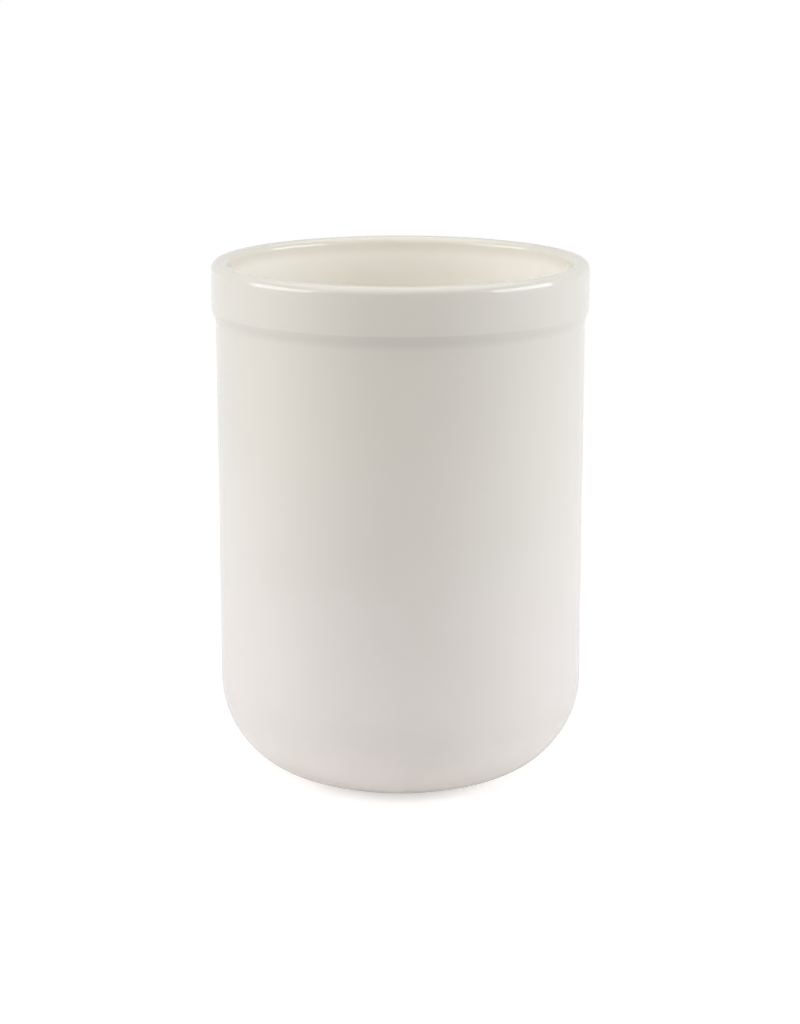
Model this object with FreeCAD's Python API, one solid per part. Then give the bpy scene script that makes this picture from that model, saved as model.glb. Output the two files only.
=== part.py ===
# Utensil crock: a straight-sided stoneware jar with a raised collar round its rim and a rounded base.
# Millimetres, with +Z up. The origin is the middle of the ring that the crock stands on.
# One clay casting carries its glaze as three fired coats: one poured inside, one over the outside and one
# in the recess underneath. The ring that it stands on is wiped bare, so that it does not stick in the kiln.

import FreeCAD, Part
import math
import os

# Driving dimensions of the finished crock, over the glaze
HEIGHT = 177.5  # from the table to the crest of the rim
RIM_DIAMETER = 127.0  # over the collar
RIM_ROUND_OUTSIDE = 2.6
RIM_ROUND_INSIDE = 2.2
COLLAR_DEPTH = 15.7  # from the crest down to the lower edge of the collar's upright face
COLLAR_STEP = 1.4  # how far the collar stands out from the top of the wall
COLLAR_SLOPE = 3.4  # height of the slope that leads from the collar in to the wall
COLLAR_EDGE_ROUND = 2.0  # rounding of the collar's lower edge
COLLAR_FILLET = 6.0  # hollow where the slope runs out on the wall
WALL = 4.5  # thickness of the wall below the collar
WALL_LEAN = 0.25  # degrees that the wall leans in on its way down
BASE_ROUND = 34.0  # outside radius of the curve from the wall in under the crock
BASE_LIFT = 1.2  # height of that curve's lowest point above the table

# Driving dimensions of the foot and the floor
FOOT_MARGIN = 1.0  # bare strip between the end of the base's curve and the foot ring
FOOT_RING = 4.6  # width of the ring that the crock stands on
FOOT_EDGE_ROUND = 0.5  # both edges of that ring
FOOT_FILLET = 0.5  # hollow between the bare strip and the ring
RECESS = 2.6  # depth of the recess inside the ring
RECESS_SLOPE = 1.6  # how far the side of the recess leans in over its depth
RECESS_FILLET = 1.4  # hollow between the side of the recess and its ceiling
FLOOR = 5.0  # thickness of the floor over the recess

# Glaze
GLAZE = 0.4  # thickness of each coat
UNDERSIDE_MARGIN = 0.6  # bare ceiling left round the coat in the recess

# Share of the rim's thickness that one rounding may take, which leaves a flat crest for the coats to meet on
ROUND_LIMIT = 0.46

# Places that follow from the driving dimensions
RIM_RADIUS = RIM_DIAMETER / 2
COLLAR_BOTTOM = HEIGHT - COLLAR_DEPTH
WALL_TOP = COLLAR_BOTTOM - COLLAR_SLOPE
FLOOR_TOP = RECESS + FLOOR
LEAN = math.radians(WALL_LEAN)

AXIS = FreeCAD.Vector(0, 0, 1)
CENTRE = FreeCAD.Vector(0, 0, 0)


def point(r, z):
    """A point of the crock's section, at distance r from the axis and height z."""
    return FreeCAD.Vector(r, 0, z)


def air_side(along):
    """The direction square to the way an outline runs. Outlines run with the open air on their left."""
    return FreeCAD.Vector(-along.z, 0, along.x)


class Line:
    """A straight stretch of an outline."""

    def __init__(self, start, end):
        self.start = start
        self.end = end

    def moved(self, distance):
        """The same stretch, moved out into the air by that distance."""
        along = (self.end - self.start).normalize()
        step = air_side(along) * distance
        return Line(self.start + step, self.end + step)

    def edge(self):
        return Part.LineSegment(self.start, self.end).toShape()


class Arc:
    """A round stretch of an outline, from one angle about its centre to another, in radians."""

    def __init__(self, centre, radius, first, last):
        self.centre = centre
        self.radius = radius
        self.first = first
        self.last = last
        self.start = self.at(first)
        self.end = self.at(last)

    def at(self, angle):
        return self.centre + point(math.cos(angle), math.sin(angle)) * self.radius

    def moved(self, distance):
        """The same stretch, moved out into the air: a bulge grows and a hollow shrinks."""
        is_hollow = self.last > self.first
        radius = self.radius - distance if is_hollow else self.radius + distance
        return Arc(self.centre, radius, self.first, self.last)

    def edge(self):
        middle = self.at((self.first + self.last) / 2)
        return Part.Arc(self.start, middle, self.end).toShape()


def rounded(start, corners, end):
    """The outline from start to end past corners of (point, radius), with a tangent arc at each corner."""
    outline = []
    here = start
    targets = [corner for corner, radius in corners[1:]] + [end]
    for (corner, radius), target in zip(corners, targets):
        before = (corner - here).normalize()
        after = (target - corner).normalize()
        turn = math.atan2(before.x * after.z - before.z * after.x, before.dot(after))
        reach = radius * math.tan(abs(turn) / 2)
        arc_start = corner - before * reach
        to_centre = air_side(before) * math.copysign(radius, turn)
        first = math.atan2(-to_centre.z, -to_centre.x)
        outline.append(Line(here, arc_start))
        outline.append(Arc(arc_start + to_centre, radius, first, first + turn))
        here = corner + after * reach
    outline.append(Line(here, end))
    return outline


def moved(outline, distance):
    """The whole outline, moved out into the air by that distance, or into the clay if it is negative."""
    return [stretch.moved(distance) for stretch in outline]


def turned(outline):
    """The solid that a closed outline sweeps about the crock's axis."""
    section = Part.Face(Part.Wire([stretch.edge() for stretch in outline]))
    return section.revolve(CENTRE, AXIS, 360)


def outer_radius(z):
    """Radius of the wall's outside at height z."""
    return RIM_RADIUS - COLLAR_STEP - (WALL_TOP - z) * math.tan(LEAN)


def inner_radius(z):
    """Radius of the wall's inside at height z."""
    return outer_radius(z) - WALL / math.cos(LEAN)


def rim_rounds():
    """Radii of the rim's inside and outside roundings, as far as its thickness has room for them."""
    most = ROUND_LIMIT * (RIM_RADIUS - inner_radius(HEIGHT))
    return min(RIM_ROUND_INSIDE, most), min(RIM_ROUND_OUTSIDE, most)


def crest():
    """The middle of the rim's flat crest, where the inside and outside coats meet."""
    round_inside, round_outside = rim_rounds()
    flat_start = inner_radius(HEIGHT) + round_inside
    flat_end = RIM_RADIUS - round_outside
    return point((flat_start + flat_end) / 2, HEIGHT)


def inside_surface():
    """The glazed inside, from the middle of the floor up the wall to the crest."""
    round_inside, round_outside = rim_rounds()
    corners = [
        (point(inner_radius(FLOOR_TOP), FLOOR_TOP), BASE_ROUND - WALL),
        (point(inner_radius(HEIGHT), HEIGHT), round_inside),
    ]
    return rounded(point(0, FLOOR_TOP), corners, crest())


def outside_surface():
    """The glazed outside, from the crest over the collar and down the wall to the end of the base's curve."""
    round_inside, round_outside = rim_rounds()
    corners = [
        (point(RIM_RADIUS, HEIGHT), round_outside),
        (point(RIM_RADIUS, COLLAR_BOTTOM), COLLAR_EDGE_ROUND),
        (point(outer_radius(WALL_TOP), WALL_TOP), COLLAR_FILLET),
        (point(outer_radius(BASE_LIFT), BASE_LIFT), BASE_ROUND),
    ]
    to_axis = rounded(crest(), corners, point(0, BASE_LIFT))
    return to_axis[:-1]


def foot_surface(start):
    """The bare clay from the end of the base's curve round the foot ring to the middle of the recess."""
    ring_outside = start.x - FOOT_MARGIN
    ring_inside = ring_outside - FOOT_RING
    corners = [
        (point(ring_outside, start.z), FOOT_FILLET),
        (point(ring_outside, 0), FOOT_EDGE_ROUND),
        (point(ring_inside, 0), FOOT_EDGE_ROUND),
        (point(ring_inside - RECESS_SLOPE, RECESS), RECESS_FILLET),
    ]
    return rounded(start, corners, point(0, RECESS))


def coat(clay):
    """The glaze that lies on a stretch of the clay's outline."""
    surface = moved(clay, GLAZE)
    upper_end = Line(clay[0].start, surface[0].start)
    lower_end = Line(surface[-1].end, clay[-1].end)
    return turned([upper_end] + surface + [lower_end] + clay[::-1])


def ceiling_of_recess(foot):
    """The part of the recess's ceiling that the underside coat lies on."""
    ceiling = foot[-1]
    return [Line(ceiling.start - point(UNDERSIDE_MARGIN, 0), ceiling.end)]


inside_clay = moved(inside_surface(), -GLAZE)
outside_clay = moved(outside_surface(), -GLAZE)
foot_clay = foot_surface(outside_clay[-1].end)
middle_of_floor = Line(foot_clay[-1].end, inside_clay[0].start)

pieces = {
    "stoneware_body": turned(inside_clay + outside_clay + foot_clay + [middle_of_floor]),
    "inside_glaze": coat(inside_clay),
    "outside_glaze": coat(outside_clay),
    "underside_glaze": coat(ceiling_of_recess(foot_clay)),
}

os.makedirs("parts", exist_ok=True)
for name, solid in pieces.items():
    solid.exportStep(f"parts/{name}.step")
    box = solid.optimalBoundingBox(False)
    print(f"{name}: valid {solid.isValid()}, {solid.Volume / 1000:.2f} cm3, "
          f"radius {box.XMax:.2f}, height {box.ZMin:.2f} to {box.ZMax:.2f}")
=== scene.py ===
# Looks of a utensil crock: ivory glazed stoneware, drawn in rings round its upright axis.
# Lengths are metres. A size that is given in millimetres is multiplied by MM.

import math

import bmesh
import bpy
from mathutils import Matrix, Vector


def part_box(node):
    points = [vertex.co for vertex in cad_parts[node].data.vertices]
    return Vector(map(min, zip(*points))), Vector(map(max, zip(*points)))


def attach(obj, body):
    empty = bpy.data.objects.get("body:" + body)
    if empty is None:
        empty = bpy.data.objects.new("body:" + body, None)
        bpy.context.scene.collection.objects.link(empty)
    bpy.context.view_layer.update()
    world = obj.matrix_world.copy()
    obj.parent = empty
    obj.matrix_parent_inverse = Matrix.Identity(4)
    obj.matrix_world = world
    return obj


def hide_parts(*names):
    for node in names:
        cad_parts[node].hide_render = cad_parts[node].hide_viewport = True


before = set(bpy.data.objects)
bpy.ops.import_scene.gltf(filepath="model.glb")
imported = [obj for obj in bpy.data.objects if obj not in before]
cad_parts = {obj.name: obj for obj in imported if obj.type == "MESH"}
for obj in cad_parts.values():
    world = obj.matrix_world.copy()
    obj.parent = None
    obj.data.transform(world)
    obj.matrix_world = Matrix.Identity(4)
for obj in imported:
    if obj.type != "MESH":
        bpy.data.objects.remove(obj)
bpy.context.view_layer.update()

MM = 0.001

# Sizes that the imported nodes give
outside_low, outside_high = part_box("outside_glaze")
inside_low, inside_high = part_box("inside_glaze")
underside_low, underside_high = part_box("underside_glaze")
GLAZE = underside_high.z - underside_low.z
HEIGHT = outside_high.z
RIM_RADIUS = outside_high.x
BASE_LIFT = outside_low.z
SEAM_RADIUS = inside_high.x
INSIDE_BOTTOM = inside_low.z + GLAZE
RECESS = underside_high.z
RECESS_COAT_RADIUS = underside_high.x

# Sizes of the form between those, over the glaze
COLLAR_BOTTOM = HEIGHT - 15.7 * MM
WALL_TOP = COLLAR_BOTTOM - 3.4 * MM
COLLAR_STEP = 1.4 * MM
COLLAR_EDGE_ROUND = 2.0 * MM
COLLAR_FILLET = 6.0 * MM
RIM_ROUND_OUTSIDE = 2.6 * MM
RIM_ROUND_INSIDE = 2.2 * MM
WALL = 4.5 * MM
WALL_LEAN = math.radians(0.25)
BASE_ROUND = 34.0 * MM
FOOT_MARGIN = 1.0 * MM
FOOT_RING = 4.6 * MM
FOOT_EDGE_ROUND = 0.5 * MM
FOOT_FILLET = 0.5 * MM
RECESS_SLOPE = 1.6 * MM
RECESS_FILLET = 1.4 * MM

# Sizes of the finish
GLAZE_LIP = 0.3 * MM  # how far the outside coat runs in past the end of the base's curve
GLAZE_ROLL = 0.16 * MM  # rounding of that coat's free edge, and what the recess coat's rounding leaves upright
SWELL_HEIGHT = 0.2 * MM  # from the lowest to the highest of the coat's slow swells
SWELL_LENGTH = 34 * MM  # from one swell to the next
SWELL_OCTAVES = 1

# Fineness of the meshes
SIDES = 192
ROW = 4 * MM  # longest face along an outline, where it runs straight
MIDDLE = 2 * MM  # radius of the small disc at the axis that a floor starts from
BASE_STEPS = 30
RIM_STEPS = 10
EDGE_STEPS = 4
HOLLOW_STEPS = 8
ROLL_STEPS = 3
NEAR = 0.002 * MM  # how close a point lies to the ring that it is on
SMOOTH_BELOW = math.radians(40)  # edges that turn by less than this are shaded smooth


class Ring:
    """One ring of an outline: its radius and height, and the rounding there with its steps."""

    def __init__(self, radius, height, rounding=0.0, steps=EDGE_STEPS):
        self.radius = radius
        self.height = height
        self.rounding = rounding
        self.steps = steps
        self.place = Vector((radius, height))


def air_side(ring, following):
    """The direction square to the outline between two rings. Outlines run with the open air on their left."""
    along = (following.place - ring.place).normalized()
    return Vector((-along.y, along.x))


def wall_radius(height):
    """Radius of the wall's outside at that height."""
    return RIM_RADIUS - COLLAR_STEP - (WALL_TOP - height) * math.tan(WALL_LEAN)


def bore_radius(height):
    """Radius of the wall's inside at that height."""
    return wall_radius(height) - WALL / math.cos(WALL_LEAN)


# Radius at which the base's curve turns level
BASE_END = wall_radius(BASE_LIFT) - BASE_ROUND * math.tan((math.pi / 2 - WALL_LEAN) / 2)

# The glazed inside, from the middle of the floor out to the wall and up to the crest of the rim
INSIDE = [
    Ring(MIDDLE, INSIDE_BOTTOM),
    Ring(bore_radius(INSIDE_BOTTOM), INSIDE_BOTTOM, BASE_ROUND - WALL, BASE_STEPS),
    Ring(bore_radius(HEIGHT), HEIGHT, RIM_ROUND_INSIDE, RIM_STEPS),
    Ring(SEAM_RADIUS, HEIGHT),
]

# The glazed outside, from the crest over the collar and down the wall to the coat's lip at the foot
OUTSIDE = [
    Ring(SEAM_RADIUS, HEIGHT),
    Ring(RIM_RADIUS, HEIGHT, RIM_ROUND_OUTSIDE, RIM_STEPS),
    Ring(RIM_RADIUS, COLLAR_BOTTOM, COLLAR_EDGE_ROUND),
    Ring(wall_radius(WALL_TOP), WALL_TOP, COLLAR_FILLET, HOLLOW_STEPS),
    Ring(wall_radius(BASE_LIFT), BASE_LIFT, BASE_ROUND, BASE_STEPS),
    Ring(BASE_END - GLAZE_LIP, BASE_LIFT),
]

# The bare clay of the foot, from the margin round the ring to the middle of the recess
FOOT_OUTSIDE = BASE_END - FOOT_MARGIN
FOOT_INSIDE = FOOT_OUTSIDE - FOOT_RING
FOOT = [
    Ring(FOOT_OUTSIDE, BASE_LIFT + GLAZE, FOOT_FILLET),
    Ring(FOOT_OUTSIDE, 0, FOOT_EDGE_ROUND),
    Ring(FOOT_INSIDE, 0, FOOT_EDGE_ROUND),
    Ring(FOOT_INSIDE - RECESS_SLOPE, RECESS, RECESS_FILLET),
    Ring(MIDDLE, RECESS),
]

# The coat in the recess, from the middle of its upper face round its edge to the middle of its lower face
RECESS_COAT = [
    Ring(MIDDLE, RECESS),
    Ring(RECESS_COAT_RADIUS, RECESS),
    Ring(RECESS_COAT_RADIUS, RECESS - GLAZE, GLAZE - GLAZE_ROLL),
    Ring(MIDDLE, RECESS - GLAZE),
]


def under_glaze(rings):
    """The clay under a glazed outline: every ring between the ends is moved in by the glaze's thickness."""
    clay = []
    for before, ring, after in zip(rings, rings[1:], rings[2:]):
        first = air_side(before, ring)
        second = air_side(ring, after)
        place = ring.place - (first + second) * (GLAZE / (1 + first.dot(second)))
        grows = math.copysign(GLAZE, first.cross(second)) if ring.rounding else 0.0
        clay.append(Ring(place.x, place.y, ring.rounding + grows, ring.steps))
    return clay


# The clay's whole outline, from the middle of the floor over the rim to the middle of the recess
CLAY_RINGS = [Ring(MIDDLE, INSIDE_BOTTOM - GLAZE)] + under_glaze(INSIDE + OUTSIDE[1:]) + FOOT


def radius_of(point):
    return math.hypot(point.co.x, point.co.y)


def lies_on(point, ring):
    return abs(radius_of(point) - ring.radius) < NEAR and abs(point.co.z - ring.height) < NEAR


def is_long(a, b):
    """True of an edge that runs along the outline for more than one row."""
    return math.hypot(radius_of(a) - radius_of(b), a.co.z - b.co.z) > ROW


def is_on_lip(a, b):
    """True of an edge at the outside coat's free end, on the lower half of its thickness."""
    is_at_end = max(radius_of(a), radius_of(b)) < OUTSIDE[-1].radius + NEAR
    return is_at_end and max(a.co.z, b.co.z) < BASE_LIFT + GLAZE / 2


def pick_edges(piece, wanted):
    """Selects the edges that are wanted, and nothing else, and says how many there are."""
    bpy.ops.mesh.select_all(action="DESELECT")
    mesh = bmesh.from_edit_mesh(piece.data)
    picked = [edge for edge in mesh.edges if wanted(*edge.verts)]
    for edge in picked:
        edge.select_set(True)
    bmesh.update_edit_mesh(piece.data)
    return len(picked)


def pick_ring(piece, ring):
    """Selects the edges that run round on a ring."""
    pick_edges(piece, lambda a, b: lies_on(a, ring) and lies_on(b, ring))


def round_off(reach, steps):
    """Gives the selected edges a round bevel, which reaches that far to either side."""
    bpy.ops.mesh.bevel(offset=reach, segments=steps, profile=0.5, affect="EDGES", clamp_overlap=False)


def draw_rings(name, rings, has_middle, has_end_middle=False):
    """A new piece in edit mode: its first ring is a circle, which is extruded and scaled from ring to ring.
    A middle closes the outline at the axis with a disc. Corners are then bevelled and long faces divided."""
    bpy.ops.object.select_all(action="DESELECT")
    bpy.ops.mesh.primitive_circle_add(
        vertices=SIDES,
        radius=rings[0].radius,
        fill_type="TRIFAN" if has_middle else "NOTHING",
        location=(0, 0, rings[0].height),
    )
    piece = bpy.context.active_object
    piece.name = name
    piece.data.name = name
    bpy.ops.object.transform_apply(location=True, rotation=True, scale=True)
    bpy.ops.object.mode_set(mode="EDIT")
    bpy.ops.mesh.select_mode(type="EDGE")
    pick_ring(piece, rings[0])
    for ring, following in zip(rings, rings[1:]):
        rise = following.height - ring.height
        spread = following.radius / ring.radius
        bpy.ops.mesh.extrude_region_move(TRANSFORM_OT_translate={"value": (0, 0, rise)})
        bpy.ops.transform.resize(value=(spread, spread, 1), center_override=(0, 0, 0))
    if has_end_middle:
        bpy.ops.mesh.extrude_region_move(TRANSFORM_OT_translate={"value": (0, 0, 0)})
        bpy.ops.mesh.merge(type="CENTER")
    for before, ring, after in zip(rings, rings[1:], rings[2:]):
        if ring.rounding:
            turn = air_side(before, ring).angle(air_side(ring, after))
            pick_ring(piece, ring)
            round_off(ring.rounding * math.tan(turn / 2), ring.steps)
    while pick_edges(piece, is_long):
        bpy.ops.mesh.subdivide(number_cuts=1)
    bpy.ops.mesh.select_all(action="SELECT")
    return piece


def end_drawing():
    """Turns the faces of a drawn piece outwards and leaves edit mode."""
    bpy.ops.mesh.normals_make_consistent(inside=False)
    bpy.ops.object.mode_set(mode="OBJECT")


def apply_modifier(piece, kind, **settings):
    modifier = piece.modifiers.new(kind.lower(), kind)
    for name, value in settings.items():
        setattr(modifier, name, value)
    bpy.ops.object.modifier_apply(modifier=modifier.name)


def dip(piece):
    """Makes a drawn surface a coat of glaze: slow swells in its face, and its thickness behind that.
    Both coats have the crest as their outermost part, so outwards is into the air all over them."""
    end_drawing()
    apply_modifier(
        piece,
        "DISPLACE",
        texture=swell,
        texture_coords="LOCAL",
        direction="NORMAL",
        mid_level=0.5,
        strength=SWELL_HEIGHT,
    )
    apply_modifier(piece, "SOLIDIFY", thickness=GLAZE, offset=-1.0)


def hand_over(piece, material, node):
    """Finishes a piece: its shading and material, and the node that it stands for."""
    bpy.ops.object.shade_smooth_by_angle(angle=SMOOTH_BELOW)
    piece.data.materials.append(material)
    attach(piece, "root")
    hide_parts(node)


def linear(colour):
    """The linear red, green, blue and alpha of an sRGB hex colour."""
    parts = [int(colour[i:i + 2], 16) / 255 for i in (1, 3, 5)]
    return [p / 12.92 if p <= 0.04045 else ((p + 0.055) / 1.055) ** 2.4 for p in parts] + [1.0]


def new_tree(owner):
    owner.use_nodes = True
    owner.node_tree.nodes.clear()
    return owner.node_tree


def add_node(tree, kind, inputs=None, **settings):
    """Adds a node. An input is a value, or another node's output, which is linked to it."""
    made = tree.nodes.new(kind)
    for name, value in settings.items():
        setattr(made, name, value)
    for name, value in (inputs or {}).items():
        if isinstance(value, bpy.types.NodeSocket):
            tree.links.new(value, made.inputs[name])
        else:
            made.inputs[name].default_value = value
    return made


def object_place(tree):
    """The place on the piece itself, in metres."""
    return add_node(tree, "ShaderNodeTexCoord").outputs["Object"]


def noise(tree, place, length, detail, roughness):
    """Noise from 0 to 1, with lumps of about that length."""
    inputs = {"Vector": place, "Scale": 1 / length, "Detail": detail, "Roughness": roughness}
    return add_node(tree, "ShaderNodeTexNoise", inputs).outputs["Fac"]


def dots(tree, place, spacing):
    """Distance to the nearest of many scattered dots, as a share of their spacing."""
    return add_node(tree, "ShaderNodeTexVoronoi", {"Vector": place, "Scale": 1 / spacing}).outputs["Distance"]


def calculated(tree, operation, first, second):
    return add_node(tree, "ShaderNodeMath", {0: first, 1: second}, operation=operation).outputs[0]


def mapped(tree, value, low, high, to_low=0.0, to_high=1.0, **settings):
    """The value, carried over from the range of low to high to another range, and kept within it."""
    inputs = {"Value": value, "From Min": low, "From Max": high, "To Min": to_low, "To Max": to_high}
    return add_node(tree, "ShaderNodeMapRange", inputs, **settings).outputs["Result"]


# Inputs and outputs of a colour Mix node, which has others of the same names
MIX_A, MIX_B, MIX_RESULT = 6, 7, 2


def mixed(tree, share, first, second, blend_type="MIX"):
    """The first colour with that share of the second."""
    inputs = {"Factor": share, MIX_A: first, MIX_B: second}
    return add_node(tree, "ShaderNodeMix", inputs, data_type="RGBA", blend_type=blend_type).outputs[MIX_RESULT]


def ramped(tree, value, tones, interpolation):
    """A colour that follows the value through tones of (position, colour)."""
    ramp = add_node(tree, "ShaderNodeValToRGB", {"Fac": value})
    ramp.color_ramp.interpolation = interpolation
    stops = ramp.color_ramp.elements
    for _ in tones[len(stops):]:
        stops.new(1.0)
    for stop, (position, colour) in zip(stops, tones):
        stop.position = position
        stop.color = linear(colour)
    return ramp.outputs["Color"]


# Colours of the glaze and the clay
IVORY = "#EAE6DB"
IVORY_LOW_PAINTED_LIGHT = "#EEE8E2"  # low on the wall: painted light, lighter and cooler as if lit from below by the white floor
IVORY_FOOT_PAINTED_LIGHT = "#F4EEE8"  # on the curve of the base: painted light, lighter still as if lit from below by the white floor
IVORY_PAINTED_SHADE = "#E8E4D9"  # painted shade, a deeper tone in the hollow under the collar and in the recess
IVORY_THIN_EDGE_AND_PAINTED_SHADE = "#DEDACE"  # on the crest: glaze drawn thin over the edge, and painted shade that darkens the crest, which the lamps light most
IVORY_CLOUD = "#E7E3D8"  # where the coat happens to lie thicker
CREAM_PAINTED_LIGHT = "#FCFAF3"  # the inside coat: painted light, the glaze made lighter inside than out to brighten the inside
CREAM_DARKER_IN_CORNER = "#EDE9DD"  # darker in the corner of the inside floor
CREAM_CLOUD_PAINTED_LIGHT = "#F7F4EC"  # where the inside coat happens to lie thicker, painted lighter like the rest of the inside
CLAY = "#D9CEB9"
CLAY_PALE = "#E2D9C8"
CLAY_SPECK = "#8F7F69"

# Patterns of the glaze. Levels are those of the noise that makes its clouds
CLOUD_LENGTH = 45 * MM
CLOUD_DETAIL = 3.0
CLOUD_ROUGHNESS = 0.55
CLOUD_START = 0.45  # level at which the cloud's colour begins to show
CLOUD_FULL = 0.75  # level from which it shows most
CLOUD_SHARE = 0.7  # how much of it shows there
DRIFT = 1 * MM  # how far the bands of tone wander up and down, among them the painted shade under the collar and the thin glaze and painted shade on the crest
DRIFT_LOW = 0.3  # levels at the two ends of that wander
DRIFT_HIGH = 0.7
GLOSS_SHARP = 0.08  # shader roughness where the glaze is glossiest
GLOSS_SOFT = 0.18
RIPPLE_LENGTH = 6 * MM
RIPPLE_HEIGHT = 0.02 * MM
RIPPLE_DETAIL = 2.0
RIPPLE_ROUGHNESS = 0.5
PINHOLE_SPACING = 16 * MM
PINHOLE_SIZE = 0.6 * MM
PINHOLE_DEPTH = 0.06 * MM

# Patterns of the clay
GRIT_LENGTH = 0.7 * MM
GRIT_HEIGHT = 0.08 * MM
GRIT_STRENGTH = 0.6
GRIT_DETAIL = 4.0
GRIT_ROUGHNESS = 0.6
GRIT_LOW = 0.35  # levels of the grit's noise at which the clay is darkest and palest
GRIT_HIGH = 0.65
SPECK_SPACING = 2.4 * MM
SPECK_SIZE = 0.5 * MM
SPECK_CORE = 2 / 3  # share of a speck's width that is dark all through
CLAY_ROUGHNESS = 0.85
CERAMIC_IOR = 1.5

# Heights at which the glaze changes tone, from the foot up. Several of the tones are painted light and painted
# shade
OUTSIDE_TONES = [
    # painted light on the curve of the base and low on the wall, as if thrown up by the floor
    (BASE_LIFT, IVORY_FOOT_PAINTED_LIGHT),
    (BASE_LIFT + 12 * MM, IVORY_FOOT_PAINTED_LIGHT),
    (BASE_LIFT + 32 * MM, IVORY_LOW_PAINTED_LIGHT),
    (BASE_LIFT + 135 * MM, IVORY),
    (WALL_TOP - 1.2 * MM, IVORY),
    # painted shade in the hollow under the collar
    (WALL_TOP + 0.1 * MM, IVORY_PAINTED_SHADE),
    (WALL_TOP + 1.3 * MM, IVORY_PAINTED_SHADE),
    (WALL_TOP + 2.6 * MM, IVORY),
    (HEIGHT - 2.6 * MM, IVORY),
    # thin glaze and painted shade on the crest
    (HEIGHT - 0.6 * MM, IVORY_THIN_EDGE_AND_PAINTED_SHADE),
]
INSIDE_TONES = [
    # painted light over the inside
    (INSIDE_BOTTOM + 1 * MM, CREAM_PAINTED_LIGHT),
    # darker in the corner of the floor
    (INSIDE_BOTTOM + 4 * MM, CREAM_DARKER_IN_CORNER),
    (INSIDE_BOTTOM + 14 * MM, CREAM_PAINTED_LIGHT),
    (HEIGHT - 7 * MM, CREAM_PAINTED_LIGHT),
    (HEIGHT - 2 * MM, IVORY),
    # thin glaze and painted shade on the crest
    (HEIGHT - 0.6 * MM, IVORY_THIN_EDGE_AND_PAINTED_SHADE),
]
RECESS_TONES = [
    # painted shade in the recess under the base
    (0, IVORY_PAINTED_SHADE),
    (RECESS, IVORY),
]


def ivory_glaze(name, tones, cloud_colour):
    """Ivory glaze, dipped and fired glossy. It gives a clear shine over a soft warm white, which is faintly
    cloudy. Its tones follow the height: painted shade in the hollows, thin glaze with painted shade on the
    crest, painted light low on the outside and all over the inside, and a darker tone in the corner of the
    inside floor. The surface has the slight ripple that a glaze sets with, and a pinhole here and there."""
    material = bpy.data.materials.new(name)
    tree = new_tree(material)
    place = object_place(tree)
    cloud = noise(tree, place, CLOUD_LENGTH, CLOUD_DETAIL, CLOUD_ROUGHNESS)

    height = add_node(tree, "ShaderNodeSeparateXYZ", {0: place}).outputs["Z"]
    drift = mapped(tree, cloud, DRIFT_LOW, DRIFT_HIGH, -DRIFT / 2, DRIFT / 2)
    wandering = calculated(tree, "ADD", height, drift)
    lowest, highest = tones[0][0], tones[-1][0]
    level = mapped(tree, wandering, lowest, highest)
    stops = [((at - lowest) / (highest - lowest), colour) for at, colour in tones]
    tone = ramped(tree, level, stops, "EASE")
    thicker = mapped(tree, cloud, CLOUD_START, CLOUD_FULL, to_high=CLOUD_SHARE)
    colour = mixed(tree, thicker, tone, linear(cloud_colour), "DARKEN")

    ripple = noise(tree, place, RIPPLE_LENGTH, RIPPLE_DETAIL, RIPPLE_ROUGHNESS)
    rippled = add_node(
        tree,
        "ShaderNodeBump",
        {"Height": ripple, "Strength": 1.0, "Distance": RIPPLE_HEIGHT},
    )
    pinhole_radius = PINHOLE_SIZE / PINHOLE_SPACING / 2
    pinhole = dots(tree, place, PINHOLE_SPACING)
    pricked = mapped(tree, pinhole, 0.0, pinhole_radius, interpolation_type="SMOOTHSTEP")
    surface = add_node(
        tree,
        "ShaderNodeBump",
        {"Height": pricked, "Strength": 1.0, "Distance": PINHOLE_DEPTH, "Normal": rippled.outputs["Normal"]},
    )
    shader = add_node(
        tree,
        "ShaderNodeBsdfPrincipled",
        {
            "Base Color": colour,
            "Roughness": mapped(tree, cloud, 0.0, 1.0, GLOSS_SHARP, GLOSS_SOFT),
            "IOR": CERAMIC_IOR,
            "Normal": surface.outputs["Normal"],
        },
    )
    add_node(tree, "ShaderNodeOutputMaterial", {"Surface": shader.outputs["BSDF"]})
    return material


def bare_stoneware():
    """Stoneware clay, fired without glaze and wiped with a wet sponge. It gives a matt buff face with fine grit
    in it and scattered dark iron specks."""
    material = bpy.data.materials.new("bare_fired_stoneware")
    tree = new_tree(material)
    place = object_place(tree)
    grit = noise(tree, place, GRIT_LENGTH, GRIT_DETAIL, GRIT_ROUGHNESS)
    tone = ramped(tree, grit, [(GRIT_LOW, CLAY), (GRIT_HIGH, CLAY_PALE)], "LINEAR")
    speck_radius = SPECK_SIZE / SPECK_SPACING / 2
    speck = mapped(tree, dots(tree, place, SPECK_SPACING), speck_radius, speck_radius * SPECK_CORE)
    tooth = add_node(
        tree,
        "ShaderNodeBump",
        {"Height": grit, "Strength": GRIT_STRENGTH, "Distance": GRIT_HEIGHT},
    )
    shader = add_node(
        tree,
        "ShaderNodeBsdfPrincipled",
        {
            "Base Color": mixed(tree, speck, tone, linear(CLAY_SPECK)),
            "Roughness": CLAY_ROUGHNESS,
            "IOR": CERAMIC_IOR,
            "Normal": tooth.outputs["Normal"],
        },
    )
    add_node(tree, "ShaderNodeOutputMaterial", {"Surface": shader.outputs["BSDF"]})
    return material


# The pieces
outside_glaze = ivory_glaze("ivory_glaze_outside", OUTSIDE_TONES, IVORY_CLOUD)
# the inside coat, painted lighter than the outside
inside_glaze = ivory_glaze("ivory_glaze_inside", INSIDE_TONES, CREAM_CLOUD_PAINTED_LIGHT)
recess_glaze = ivory_glaze("ivory_glaze_in_recess", RECESS_TONES, IVORY_CLOUD)
clay = bare_stoneware()

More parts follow.
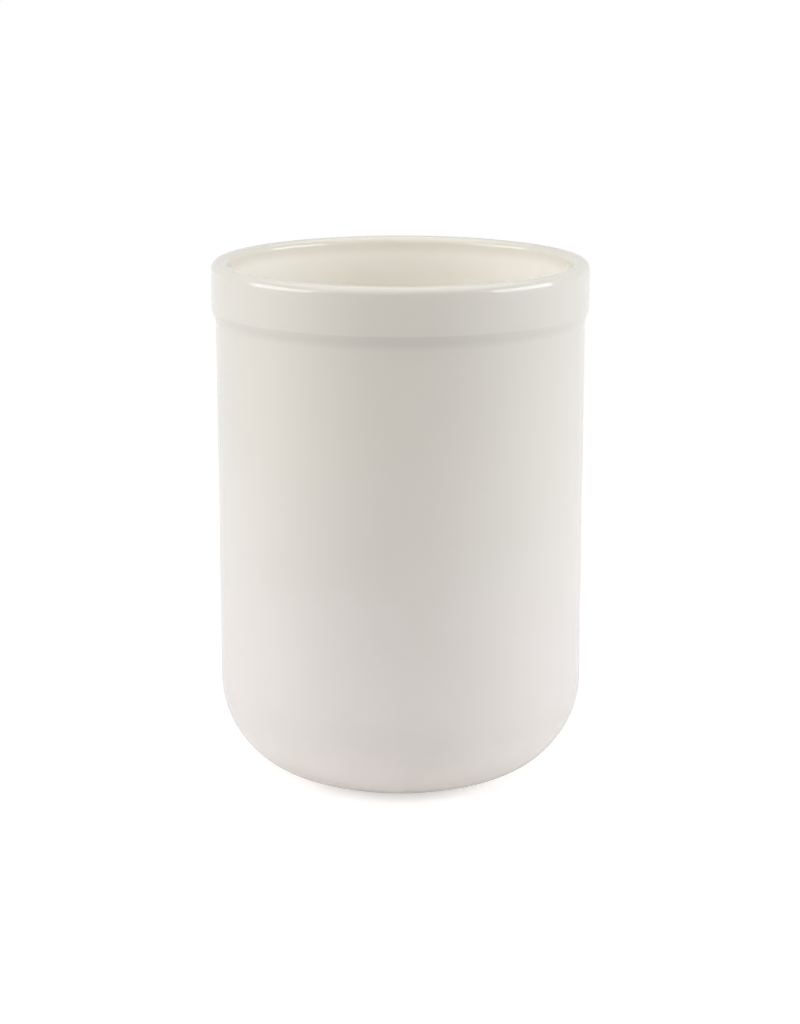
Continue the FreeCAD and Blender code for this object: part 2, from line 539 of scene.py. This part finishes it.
swell = bpy.data.textures.new("glaze_swell", "CLOUDS")
swell.noise_scale = SWELL_LENGTH
swell.noise_depth = SWELL_OCTAVES

outside = draw_rings("outside_glaze_coat", OUTSIDE, has_middle=False)
dip(outside)
bpy.ops.object.mode_set(mode="EDIT")
pick_edges(outside, is_on_lip)
round_off(GLAZE_ROLL, ROLL_STEPS)
bpy.ops.object.mode_set(mode="OBJECT")
hand_over(outside, outside_glaze, "outside_glaze")

inside = draw_rings("inside_glaze_coat", INSIDE, has_middle=True)
dip(inside)
hand_over(inside, inside_glaze, "inside_glaze")

underside = draw_rings("underside_glaze_coat", RECESS_COAT, has_middle=True, has_end_middle=True)
end_drawing()
hand_over(underside, recess_glaze, "underside_glaze")

body = draw_rings("stoneware_casting", CLAY_RINGS, has_middle=True, has_end_middle=True)
end_drawing()
hand_over(body, clay, "stoneware_body")


# The floor, the light and the camera
WHITE = "#FFFFFF"
FLOOR_SIZE = 12.0
FLOOR_NEAR = 0.08  # as far as this the floor is pale all over
FLOOR_FAR = 0.9  # from there to here it grows dim, so that it throws less light on the crock
FLOOR_PALE = "#E9E8E8"
FLOOR_DIM = "#303030"
FLOOR_WHITE = 0.45  # from here on it glows most
FLOOR_GLOW_NEAR = 0.55  # lifts the floor to white where it is seen, and leaves the shadow beside the crock
FLOOR_GLOW_FAR = 1.0
FLOOR_SHINE_NEAR = 0.4  # how much of the floor's glow a shine shows, beside the crock and far off
FLOOR_SHINE_FAR = 1.0
ROOM_LEVEL = 0.03  # light that the dim room gives from all round
ROOM_SEEN = 1.0  # white, where the room itself is seen
ROOM_SHINE = 0.85  # how much of that white a shine shows
BOUNCES = 12  # the inside of a pale crock is lit by light that goes from wall to wall many times
CAMERA_RISE = math.radians(12.586)
CAMERA_DISTANCE = 1.1
CAMERA_AIM = Vector((-0.2 * MM, 0, 91 * MM))
PHOTO_LONG_SIDE = 1024
PHOTO_FOCUS = 3228.4  # focal length in the photo's pixels
SENSOR = 36.0  # millimetres along the photo's long side


def seen_share(tree, shine_share):
    """1 for a ray from the camera or through glass, the given share for one off a shine, and 0 for one that
    only brings light."""
    path = add_node(tree, "ShaderNodeLightPath").outputs
    shine = calculated(tree, "MULTIPLY", path["Is Glossy Ray"], shine_share)
    direct = calculated(tree, "MAXIMUM", path["Is Camera Ray"], path["Is Transmission Ray"])
    return calculated(tree, "MAXIMUM", direct, shine)


def white_studio_floor():
    """Matt white studio paint. It gives a plain white ground with a faint shadow beside the crock. Far off the
    paint is dim, and a glow that lights nothing makes it white to the eye."""
    material = bpy.data.materials.new("white_studio_floor")
    tree = new_tree(material)
    reach = add_node(
        tree,
        "ShaderNodeVectorMath",
        {0: object_place(tree)},
        operation="LENGTH",
    ).outputs["Value"]
    away = mapped(tree, reach, FLOOR_NEAR, FLOOR_FAR)
    colour = mixed(tree, away, linear(FLOOR_PALE), linear(FLOOR_DIM))
    matt = add_node(tree, "ShaderNodeBsdfDiffuse", {"Color": colour})
    level = mapped(tree, reach, FLOOR_NEAR, FLOOR_WHITE, FLOOR_GLOW_NEAR, FLOOR_GLOW_FAR)
    shine = mapped(tree, reach, FLOOR_NEAR, FLOOR_FAR, FLOOR_SHINE_NEAR, FLOOR_SHINE_FAR)
    strength = calculated(tree, "MULTIPLY", seen_share(tree, shine), level)
    glow = add_node(tree, "ShaderNodeEmission", {"Strength": strength})
    both = add_node(tree, "ShaderNodeAddShader", {0: matt.outputs["BSDF"], 1: glow.outputs["Emission"]})
    add_node(tree, "ShaderNodeOutputMaterial", {"Surface": both.outputs["Shader"]})
    return material


def pale_room():
    """A room that is white where it is seen and gives only a little light."""
    room = bpy.data.worlds.new("pale_room")
    tree = new_tree(room)
    light = add_node(tree, "ShaderNodeBackground", {"Color": linear(WHITE), "Strength": ROOM_LEVEL})
    seen = add_node(tree, "ShaderNodeBackground", {"Color": linear(WHITE), "Strength": ROOM_SEEN})
    both = add_node(
        tree,
        "ShaderNodeMixShader",
        {0: seen_share(tree, ROOM_SHINE), 1: light.outputs["Background"], 2: seen.outputs["Background"]},
    )
    add_node(tree, "ShaderNodeOutputWorld", {"Surface": both.outputs["Shader"]})
    return room


def towards(azimuth, rise):
    """The direction at that azimuth from the camera's side, to the right if positive, and that rise."""
    level = math.cos(rise)
    return Vector((math.sin(azimuth) * level, -math.cos(azimuth) * level, math.sin(rise)))


def softbox(name, azimuth, rise, distance, width, height, power, colour):
    """A soft lamp at that place round the crock, turned to its middle."""
    lamp = bpy.data.lights.new(name, "AREA")
    lamp.shape = "RECTANGLE"
    lamp.size = width
    lamp.size_y = height
    lamp.energy = power
    lamp.color = linear(colour)[:3]
    stand = bpy.data.objects.new(name, lamp)
    direction = towards(math.radians(azimuth), math.radians(rise))
    stand.location = CAMERA_AIM + direction * distance
    stand.rotation_euler = direction.to_track_quat("Z", "Y").to_euler()
    bpy.context.collection.objects.link(stand)


# Name, azimuth and rise in degrees, distance, width, height, watts and colour of each lamp
SOFTBOXES = [
    ("right_box", 78, 15, 1.0, 0.8, 0.5, 6.8, "#F8FAFF"),
    ("left_box", -76, 15, 1.0, 0.8, 0.5, 5.7, "#F8FAFF"),
    ("top_box", 0, 90, 1.0, 1.4, 1.4, 9.0, "#FCFCFF"),
    ("front_box", -30, 40, 1.0, 1.0, 1.0, 2.3, "#FFFAF2"),
]

bpy.ops.object.select_all(action="DESELECT")
bpy.ops.mesh.primitive_plane_add(size=FLOOR_SIZE, location=(0, 0, 0))
floor = bpy.context.active_object
floor.name = "floor"
floor.data.materials.append(white_studio_floor())

for settings in SOFTBOXES:
    softbox(*settings)

lens = bpy.data.cameras.new("camera")
lens.sensor_width = SENSOR
lens.lens = SENSOR * PHOTO_FOCUS / PHOTO_LONG_SIDE
camera = bpy.data.objects.new("camera", lens)
look = towards(0, CAMERA_RISE)
camera.location = CAMERA_AIM + look * CAMERA_DISTANCE
camera.rotation_euler = look.to_track_quat("Z", "Y").to_euler()
bpy.context.collection.objects.link(camera)

bpy.context.scene.camera = camera
bpy.context.scene.world = pale_room()
bpy.context.scene.view_settings.view_transform = "Standard"
bpy.context.scene.cycles.diffuse_bounces = BOUNCES
